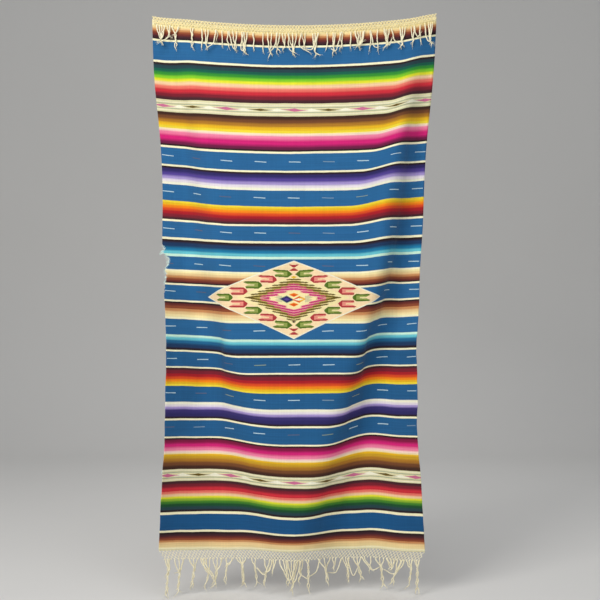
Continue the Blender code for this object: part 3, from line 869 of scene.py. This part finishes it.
def strand_paths(locks, surface, depth_of, height):
    """The points of each strand's path, where it joins its bundle, and its number."""
    paths = []
    for number, lock in enumerate(locks):
        row = dict(zip(LOCK_COLUMNS, lock))
        count = row["strands"]
        middle = (row["root_from"] + row["root_to"]) / 2000
        gather = row["gather"] / 100
        bunch = middle + row["swing"] / 1000
        for k in range(count):
            share = k / (count - 1) if count > 1 else 0.5
            root_x = (row["root_from"] + (row["root_to"] - row["root_from"]) * share) / 1000
            root, _ = surface(root_x, height)
            drop = row["drop"] / 1000 * (1 - SHORTER * ((k * 2) % 3) / 2)
            tip_x = middle + row["sway"] / 1000 + (share - 0.5) * 0.004 * (count > 1)
            wound = BUNDLE_RADIUS[count - 1]
            points = []
            for t in np.linspace(0, 1, 15):
                z = root[2] - drop * t
                if t < gather:
                    s = t / gather
                    x = root_x + (bunch - root_x) * s * s * (2 - s)
                else:
                    s = (t - gather) / (1 - gather)
                    x = bunch + (tip_x - bunch) * s
                turn = 2 * math.pi * (drop * (t - gather) / BUNDLE_PITCH + k / count) + number
                tight = min(1, t / gather) ** 4 * (1 + 0.9 * max(0, (t - 0.86) / 0.14))
                x += wound * tight * math.cos(turn)
                y = depth_of(root, x, z) - row["fore"] * FORE_STEP * min(1, t * 3)
                y -= wound * tight * (math.sin(turn) + 0.6)
                points.append((x, y, z))
            paths.append((points, number * 7 + k))
    return paths


def loop_paths(loops, surface, depth_of, height):
    """The points of the cords that loop between the locks."""
    paths = []
    for number, loop in enumerate(loops):
        row = dict(zip(LOOP_COLUMNS, loop))
        root, _ = surface(row["from"] / 1000, height)
        stops = [(row[place], row[place + "_drop"]) for place in ("from", "low", "to")]
        line = resampled([(x / 1000, 0, root[2] - drop / 1000) for x, drop in stops], 0.006)
        points = []
        for x, _, z in line:
            aside = 0.003 + row["fore"] * 0.005
            points.append((x, depth_of(root, x, z) - aside, z))
        paths.append((points, 400 + number))
    return paths


def bottom_depth(root, x, z):
    return root[1]


def top_depth(root, x, z):
    """In front of the cloth behind this point."""
    down = max(0, -z - GRIP_TO_WEAVE)
    behind = at_point(HUNG, np.interp(x, HUNG[0][:, 0], FINE_ACROSS), down)
    return min(root[1], behind[1] - TOP_STRAND_CLEARANCE)


def fringe(name, locks, loops, surface, depth_of, height, cord, ends, cotton, node):
    """A net with its strands and loops, in place of one of the fringe solids."""
    ropes = Ropes()
    net(ropes, surface, ends[0] + 0.002, ends[1] - 0.002, height, cord)
    paths = strand_paths(locks, surface, depth_of, height)
    for points, seed in paths + loop_paths(loops, surface, depth_of, height):
        line = kinked(resampled(points, STRAND_STEP * 1.5), seed, KINK)
        thick = STRAND_RADIUS * (1 + 0.16 * math.sin(seed * 2.3))
        ropes.strand(line, thick, STRAND_END, seed * 1.1)
        ropes.knot(line[0], np.eye(3), np.array(KNOT_SIZE) * 1.3)
    made = new_object(name, ropes.mesh(name), cotton)
    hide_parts(node)
    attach(made, "root")
    return made


def selvedge_threads(wool_thread):
    """Loose ends of weft along the tear, and the tuft that hangs out of it."""
    ropes = Ropes()
    for top, low, count, length, droop in LOOSE_THREADS:
        for k in range(count):
            down = (top + (low - top) * (k + 0.5) / count) / 1000
            inner = -HALF + tear_depth(down) + 0.003
            root = at_point(DRESSED, inner, down)
            normal = at_point(NORMALS, inner, down)
            reach = length * (0.7 + 0.5 * noise.random())
            lean = noise.random_unit_vector(size=3)
            path = []
            for t in np.linspace(0, 1, 7):
                out = np.array((-1, 0, 0)) * reach * t
                fall = np.array((0, 0, -1)) * reach * droop * t * t
                curl = np.array(lean) * reach * 0.28 * t * t
                path.append(root + normal * 0.0008 + out + fall + curl)
            ropes.tube(path, np.linspace(0.0013, 0.0005, 7), sides=4)
    made = new_object("selvedge_threads", ropes.mesh("selvedge_threads"), wool_thread)
    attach(made, "root")
    return made


# Materials


def node_maker(operation):
    """A method that adds one math node to the value it is called on."""
    return lambda value, *others: value.graph.math(operation, value, *others)


class Value:
    """A number or colour in a material's nodes. Each sign between two of them adds a node."""

    def __init__(self, graph, socket):
        self.graph = graph
        self.socket = socket

    def __rsub__(self, other):
        return self.graph.math("SUBTRACT", other, self)

    __add__ = __radd__ = node_maker("ADD")
    __sub__ = node_maker("SUBTRACT")
    __mul__ = __rmul__ = node_maker("MULTIPLY")
    __and__ = node_maker("MULTIPLY")  # where both masks are 1
    __truediv__ = node_maker("DIVIDE")
    __mod__ = node_maker("MODULO")
    __pow__ = node_maker("POWER")
    __lt__ = node_maker("LESS_THAN")
    __gt__ = node_maker("GREATER_THAN")
    __abs__ = node_maker("ABSOLUTE")
    __round__ = node_maker("ROUND")
    __floor__ = node_maker("FLOOR")
    sine = node_maker("SINE")
    at_least = node_maker("MAXIMUM")
    at_most = node_maker("MINIMUM")


class Graph:
    """Short names for making shader nodes in one material."""

    def __init__(self, name):
        self.material = bpy.data.materials.new(name)
        self.material.use_nodes = True
        self.nodes = self.material.node_tree.nodes
        self.links = self.material.node_tree.links
        self.shader = self.nodes["Principled BSDF"]

    def put(self, socket, value):
        if isinstance(value, Value):
            self.links.new(value.socket, socket)
        else:
            socket.default_value = value

    def math(self, operation, *values, clamp=False):
        node = self.nodes.new("ShaderNodeMath")
        node.operation = operation
        node.use_clamp = clamp
        for socket, value in zip(node.inputs, values):
            self.put(socket, value)
        return Value(self, node.outputs[0])

    def mix(self, factor, a, b, blend="MIX"):
        node = self.nodes.new("ShaderNodeMix")
        node.data_type = "RGBA"
        node.blend_type = blend
        self.put(node.inputs["Factor"], factor)
        self.put(node.inputs[6], a)
        self.put(node.inputs[7], b)
        return Value(self, node.outputs[2])

    def split(self, vector):
        node = self.nodes.new("ShaderNodeSeparateXYZ")
        self.put(node.inputs[0], vector)
        return [Value(self, output) for output in node.outputs]

    def coordinates(self, name):
        node = self.nodes.new("ShaderNodeUVMap")
        node.uv_map = name
        return self.split(Value(self, node.outputs[0]))[:2]

    def place(self):
        return Value(self, self.nodes.new("ShaderNodeTexCoord").outputs["Object"])

    def vector(self, x, y, z=0.0):
        node = self.nodes.new("ShaderNodeCombineXYZ")
        for socket, value in zip(node.inputs, (x, y, z)):
            self.put(socket, value)
        return Value(self, node.outputs[0])

    def noise(self, vector, scale, detail=2.0, roughness=0.5):
        node = self.nodes.new("ShaderNodeTexNoise")
        self.put(node.inputs["Vector"], vector)
        self.put(node.inputs["Scale"], scale)
        self.put(node.inputs["Detail"], detail)
        self.put(node.inputs["Roughness"], roughness)
        return Value(self, node.outputs["Fac"])

    def ramp(self, value, stops, interpolation="CONSTANT"):
        node = self.nodes.new("ShaderNodeValToRGB")
        node.color_ramp.interpolation = interpolation
        items = node.color_ramp.elements
        while len(items) > 1:
            items.remove(items[-1])
        items[0].position, items[0].color = stops[0]
        for position, colour in stops[1:]:
            items.new(position).color = colour
        self.put(node.inputs[0], value)
        return Value(self, node.outputs[0])

    def bump(self, height, strength, distance):
        node = self.nodes.new("ShaderNodeBump")
        node.inputs["Strength"].default_value = strength
        node.inputs["Distance"].default_value = distance
        self.put(node.inputs["Height"], height)
        self.links.new(node.outputs[0], self.shader.inputs["Normal"])

    def surface(self, colour, roughness, sheen=0.0, specular=0.5):
        self.put(self.shader.inputs["Base Color"], colour)
        self.put(self.shader.inputs["Roughness"], roughness)
        self.shader.inputs["Sheen Weight"].default_value = sheen
        self.shader.inputs["Specular IOR Level"].default_value = specular


def yarn(name):
    return daylight(YARNS[name])


def stripe_list():
    """Each stripe's start and end in metres, its yarn, and how much it blends at each side."""
    stripes, start = [], 0
    for grade, ends, way in BANDS:
        yarns = GRADES[grade][::way]
        total = sum(share for _, share in yarns)
        at = start
        for number, (name, share) in enumerate(yarns):
            width = (ends - start) * share / total
            before = BLENDED * width if number > 0 else BAND_BLEND
            after = BLENDED * width if number + 1 < len(yarns) else BAND_BLEND
            stripes.append((at / 1000, (at + width) / 1000, name, before / 1000, after / 1000))
            at += width
        start = ends
    return stripes


def stripes(g, down):
    """The colour of the weft at each place down the cloth."""
    listed = stripe_list()
    colour = None
    for first in range(0, len(listed), STRIPES_PER_RAMP):
        part = listed[first : first + STRIPES_PER_RAMP]
        begin = part[0][0]
        reach = part[-1][1] - begin
        stops = []
        for start, stop, name, before, after in part:
            stops.append(((start + before - begin) / reach, yarn(name)))
            stops.append(((stop - after - begin) / reach, yarn(name)))
        piece = g.ramp((down - begin) / reach, stops, "LINEAR")
        colour = piece if colour is None else g.mix(down > begin, colour, piece)
    return colour


def dashes(g, across, down, colour):
    """The short inlaid dashes along the middle of the blue bands."""
    place = round(across / MOTIF_PITCH)
    aside = across - place * MOTIF_PITCH
    slots = DASHES_ACROSS + 1
    slot = (place + slots / 2) / slots
    for number, line in enumerate(DASH_ROWS):
        row = dict(zip(DASH_COLUMNS, line))
        here = aside - row["shift"] / 1000
        lift = down - row["down"] / 1000 - here * (row["slant"] / 100)
        mask = (abs(here) < DASH_HALF[0]) & (abs(lift) < DASH_HALF[1])
        dull = {p: name for r, p, name in DULL_DASHES if r == number}
        stops = [((p + 0.5) / slots, yarn(dull.get(p, "pale"))) for p in range(DASHES_ACROSS)]
        colour = g.mix(mask, colour, g.ramp(slot, stops))
    return colour


def diamond(x, y, half):
    """How far out a place lies in a diamond: 0 in the middle, 1 on its edge."""
    return abs(x) / half[0] + abs(y) / half[1]


def lozenges(g, across, down, colour):
    """The row of thin lozenges along each cream band, with its fine lines."""
    place = round(across / MOTIF_PITCH)
    aside = across - place * MOTIF_PITCH
    odd = abs(place) % 2.0
    half = abs(aside) - MOTIF_PITCH / 2
    kinds = ((1.0 - odd, ROSE_LOZENGE, "rose"), (odd, MOSS_LOZENGE, "moss"))
    for row in LOZENGE_ROWS:
        lift = down - row
        for near, name in zip(CHANNEL_LINES, ("sage", "ivory")):
            line = abs(abs(lift) - near) < CHANNEL_HALF
            colour = g.mix(line * 0.75, colour, yarn(name))
        lens = diamond(half, lift + half * LENS_SLANT, WHITE_LENS) < 1.0
        colour = g.mix(lens, colour, yarn("ivory"))
        leaning = lift - aside * LOZENGE_SLANT
        for mine, sizes, name in kinds:
            for size, strength in zip(reversed(sizes), (0.8, 1.0)):
                inside = diamond(aside, leaning, size) < 1.0
                colour = g.mix((mine & inside) * strength, colour, yarn(name))
    return colour


def buds(g, size_x, size_y, colour):
    """The ring of buds, whose points face the heart and whose three petals face outwards."""
    step_x, step_y = BUD_STEP
    span = step_x**2 + step_y**2
    along = (BUD_FIRST - size_x) * (step_x / span) + size_y * (step_y / span)
    number = round(along).at_least(0.0).at_most(BUDS_PER_SIDE - 1.0)
    out = size_x - (BUD_FIRST - number * step_x)
    aside = abs(size_y - number * step_y)
    long, high = BUD_HALF
    outer_end = long - abs(aside - PRONG_AT) * PRONG_SLOPE
    body = (aside < high) & (out > aside * BUD_POINT - long) & (out < outer_end)
    petal = (aside < PETAL[0]) & (out > PETAL[1])
    slit = (aside < SLIT[0]) & (out > SLIT[1])
    green = number % 2.0 < 0.5
    dark = g.mix(green, yarn("brick"), yarn("leaf"))
    light = g.mix(green, yarn("salmon"), yarn("bud"))
    bud = g.mix(petal, dark, light)
    bud = g.mix(slit * 0.75, bud, yarn("butter"))
    return g.mix(body, colour, bud)


def medallion(g, across, down, colour):
    """The serrated diamond, with its ring of buds and the small figures in its heart."""
    x = across - MEDALLION_AT[0]
    x = x / ((x > 0.0) * (MEDALLION_SIDES[1] - MEDALLION_SIDES[0]) + MEDALLION_SIDES[0])
    rise = (abs(x) * (math.pi / MEDALLION_RISE[1])).sine() * MEDALLION_RISE[0]
    y = down - MEDALLION_AT[1] + rise
    outer = diamond(x, y, MEDALLION_HALF)
    size_x, size_y = abs(x), abs(y)
    colour = g.mix(outer < 1.0, colour, yarn("ivory"))
    ground = g.mix(outer < MEDALLION_PALE, yarn("apricot"), yarn("butter"))
    colour = g.mix(outer < 1 - MEDALLION_EDGE, colour, ground)
    colour = buds(g, size_x, size_y, colour)
    lift = abs(size_y - GLASS_AT)
    glass = (lift < GLASS_HALF) & (lift > 0.0010) & (size_x < lift * GLASS_SLOPE + 0.001)
    colour = g.mix(glass, colour, yarn("brick"))
    # The inner diamond is woven in bars that lean a little, so its edges are serrated.
    lean = size_x * BAR_LEAN
    bar = math.floor((size_y + lean) / BAR)
    within = (size_y + lean) / BAR - bar
    off_middle = abs(within - 0.5)
    dark = off_middle < BAR_DARK
    serrated = (bar + 0.5) * BAR - lean + off_middle * BAR_TAPER
    ring = diamond(x, serrated, INNER_HALF)
    rose = diamond(x, serrated, PINK_HALF)
    white = diamond(x, serrated, HEART_HALF)
    # The pale bars between the dark ones stop short of them, which leaves the teeth.
    reach = dark * (1 - TOOTH) + TOOTH
    moss = g.mix(dark, yarn("olive"), yarn("moss"))
    pink = g.mix(dark, yarn("carnation"), yarn("fuchsia"))
    colour = g.mix(ring < reach, colour, moss)
    colour = g.mix(rose < reach, colour, pink)
    colour = g.mix(white < 2.0 - reach, colour, yarn("butter"))
    tips = (white < 0.86) & (size_x > 0.044)
    colour = g.mix(tips * 0.4, colour, yarn("sage"))
    for at_x, at_y, half, name in FIGURES:
        figure = diamond(x - at_x, y - at_y, half) < 1.0
        colour = g.mix(figure, colour, yarn(name))
    return colour


def wool_weave():
    """Weft-faced wool tapestry: stripes and motifs with the weave's ribs, picks and worn yarn."""
    g = Graph("wool_weave")
    across, down = g.coordinates("weave")
    spot = g.vector(across, down)
    # Each band waves a little, and each pick wanders.
    slow = g.noise(g.vector(across * 0.5, down), 6.0) - 0.5
    fast = g.noise(g.vector(across * 0.25, down), 160.0) - 0.5
    woven = down + (slow * BAND_WAVE + fast * PICK_WANDER)
    colour = stripes(g, woven)
    colour = lozenges(g, across, woven, colour)
    colour = dashes(g, across, woven, colour)
    stepped = round(down / WEAVE_STEP) * WEAVE_STEP
    colour = medallion(g, across, stepped + fast * 0.0008, colour)
    # Uneven dye along each pick, faint lines over the warp, and the bloom of old wool.
    pick = g.noise(g.vector(across * 3.0, down * 260.0), 1.0, 3.0)
    warp = g.noise(g.vector(across * 190.0, down * 2.5), 1.0, 2.0)
    patches = g.noise(spot, 9.0, 4.0, 0.6)
    fleck = g.noise(spot, 900.0, 1.0)
    shade = (pick - 0.5) * 0.42 + 1.0
    for grain, depth in ((warp, 0.16), (patches, 0.18), (fleck, 0.22)):
        shade = shade * ((grain - 0.5) * depth + 1.0)
    colour = g.mix(1.0, colour, g.vector(shade, shade, shade), "MULTIPLY")
    dyed = g.noise(g.vector(across * 2.2, down * 34.0), 1.0, 2.0)
    greener = g.mix(1.0, colour, GREENER, "MULTIPLY")
    colour = g.mix(dyed * 0.6, colour, greener)
    g.surface(colour, patches * 0.14 + 0.84, sheen=0.06, specular=0.18)
    # Ribs over the warp, with each pick dipping between them in turn.
    rib = across * (2 * math.pi / RIB_PITCH)
    row = down * (math.pi / PICK_PITCH)
    ribs = abs((rib * 0.5).sine()) * 0.7
    picks = abs((row + rib.sine() * 0.6).sine()) * 0.5
    g.bump(ribs + picks + fleck * 0.5 + pick * 0.5, 0.55, 0.0006)
    return g.material


def cotton(name, dust_and_shade, painted_sunlight=False):
    """Plied natural cotton cord, with painted shade in the twist's grooves and a little dust that also
    stands for painted shade. The top net is tinted more golden than the strands that hang from it,
    as painted warm sunlight."""
    g = Graph(name)
    around, along = g.coordinates("cord")
    turn = along * (1 / YARN_TWIST) + around
    groove = abs((turn * math.pi).sine())
    uneven = g.noise(g.vector(around, along * 55.0), 1.4, 3.0)
    # Painted shade in the twist's grooves, mixed with the yarn's random tone: darker where the cord
    # dips.
    groove_shade_and_tone = g.math("ADD", (1.0 - groove) * 0.5, (uneven - 0.45) * 1.1, clamp=True)
    colour = g.mix(groove_shade_and_tone, daylight(COTTON_LIGHT), daylight(COTTON_DARK))
    # Dust together with painted shade: more of it on the bottom net, to make it look less lit.
    dust_and_shade_colour = tuple(c * 0.55 for c in daylight(COTTON_DUST_AND_SHADE)[:3]) + (1.0,)
    colour = g.mix((uneven - 0.3).at_least(0.0) * dust_and_shade, colour, dust_and_shade_colour)
    if painted_sunlight:
        # Painted warm sunlight: the top net, above where its strands hang, is tinted golden.
        x, _, z = g.split(g.place())
        sag = (x / HALF) ** 2.0 * (DRAPE[0][1] / 1000)
        above = z + (GRIP_TO_WEAVE + TOP_NET_FALL) - sag
        colour = g.mix(above > 0.0, colour, g.mix(1.0, colour, PAINTED_SUNLIGHT_TINT, "MULTIPLY"))
    g.surface(colour, uneven * 0.2 + 0.78, sheen=0.1, specular=0.2)
    g.bump(groove + uneven * 0.6, 0.6, 0.0005)
    return g.material


def wool_thread():
    """The pale fluffed yarn that hangs out of the tear."""
    g = Graph("wool_thread")
    around, along = g.coordinates("cord")
    uneven = g.noise(g.vector(around, along * 90.0), 1.0, 3.0)
    colour = g.mix(uneven, yarn("thread"), yarn("mint"))
    g.surface(colour, uneven * 0.15 + 0.8, sheen=0.2)
    g.bump(uneven, 0.5, 0.0004)
    return g.material


def plain(name, colour):
    """A pale studio surface with the faintest unevenness."""
    g = Graph(name)
    cloudy = g.noise(g.place(), 1.5, 3.0)
    tint = tuple(c * 0.97 for c in colour[:3]) + (1.0,)
    g.surface(g.mix(cloudy, colour, tint), cloudy * 0.05 + 0.85, specular=0.1)
    return g.material


# Studio


def studio(floor_z):
    """A pale floor that sweeps up into a backdrop, with soft lights and the camera."""
    mesh = bpy.data.meshes.new("floor")
    profile = [(FLOOR_FRONT, floor_z)]
    for k in range(13):
        turn = math.pi / 2 * k / 12
        rise = SWEEP_RADIUS * (1 - math.cos(turn))
        profile.append((SWEEP_STARTS + SWEEP_RADIUS * math.sin(turn), floor_z + rise))
    profile.append((SWEEP_STARTS + SWEEP_RADIUS, floor_z + BACKDROP_HEIGHT))
    verts = [(x, y, z) for y, z in profile for x in (-FLOOR_HALF, FLOOR_HALF)]
    faces = [(2 * k, 2 * k + 1, 2 * k + 3, 2 * k + 2) for k in range(len(profile) - 1)]
    mesh.from_pydata(verts, [], faces)
    floor = new_object("studio_floor", mesh, plain("studio_pale", FLOOR_COLOUR))
    scene = bpy.context.scene
    for name, place, towards, size, power, colour in LAMPS:
        light = bpy.data.lights.new(name, "AREA")
        light.shape, light.size = "SQUARE", size
        light.energy, light.color = power, colour
        lamp = bpy.data.objects.new(name, light)
        lamp.location = place
        aim = Vector(towards) - Vector(place)
        lamp.rotation_euler = aim.to_track_quat("-Z", "Y").to_euler()
        scene.collection.objects.link(lamp)
    scene.world = bpy.data.worlds.new("studio")
    scene.world.use_nodes = True
    sky = scene.world.node_tree.nodes["Background"]
    sky.inputs[0].default_value, sky.inputs[1].default_value = SKY
    scene.view_settings.view_transform = "Standard"
    lens = bpy.data.cameras.new("camera")
    lens.lens, lens.sensor_width = CAMERA_LENS
    camera = bpy.data.objects.new("camera", lens)
    camera.location = CAMERA_AT
    camera.rotation_euler = (math.pi / 2, 0, 0)
    scene.collection.objects.link(camera)
    scene.camera = camera


def main():
    noise.seed_set(11)
    panel = cloth(wool_weave())
    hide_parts("woven_panel")
    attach(panel, "root")
    top_ends = HUNG[0][[0, -1], 0]
    top = fringe(
        "top_net_and_strands", TOP_LOCKS, TOP_LOOPS, top_surface, top_depth, TOP_NET_HEIGHT,
        TOP_CORD, top_ends, cotton("cotton_warp_top", 0.1, painted_sunlight=True), "top_fringe",
    )  # fmt: skip
    bottom_ends = HUNG[-1][[0, -1], 0] * NET_END_SLANT
    # The bottom cords get more dust and painted shade than the top ones.
    bottom = fringe(
        "bottom_net_and_strands", BOTTOM_LOCKS, BOTTOM_LOOPS, bottom_surface, bottom_depth,
        NET_HEIGHT, BOTTOM_CORD, bottom_ends, cotton("cotton_warp_bottom", 0.35), "bottom_fringe",
    )  # fmt: skip
    threads = selvedge_threads(wool_thread())
    studio(cad_box[0].z - FLOOR_DROP)


main()
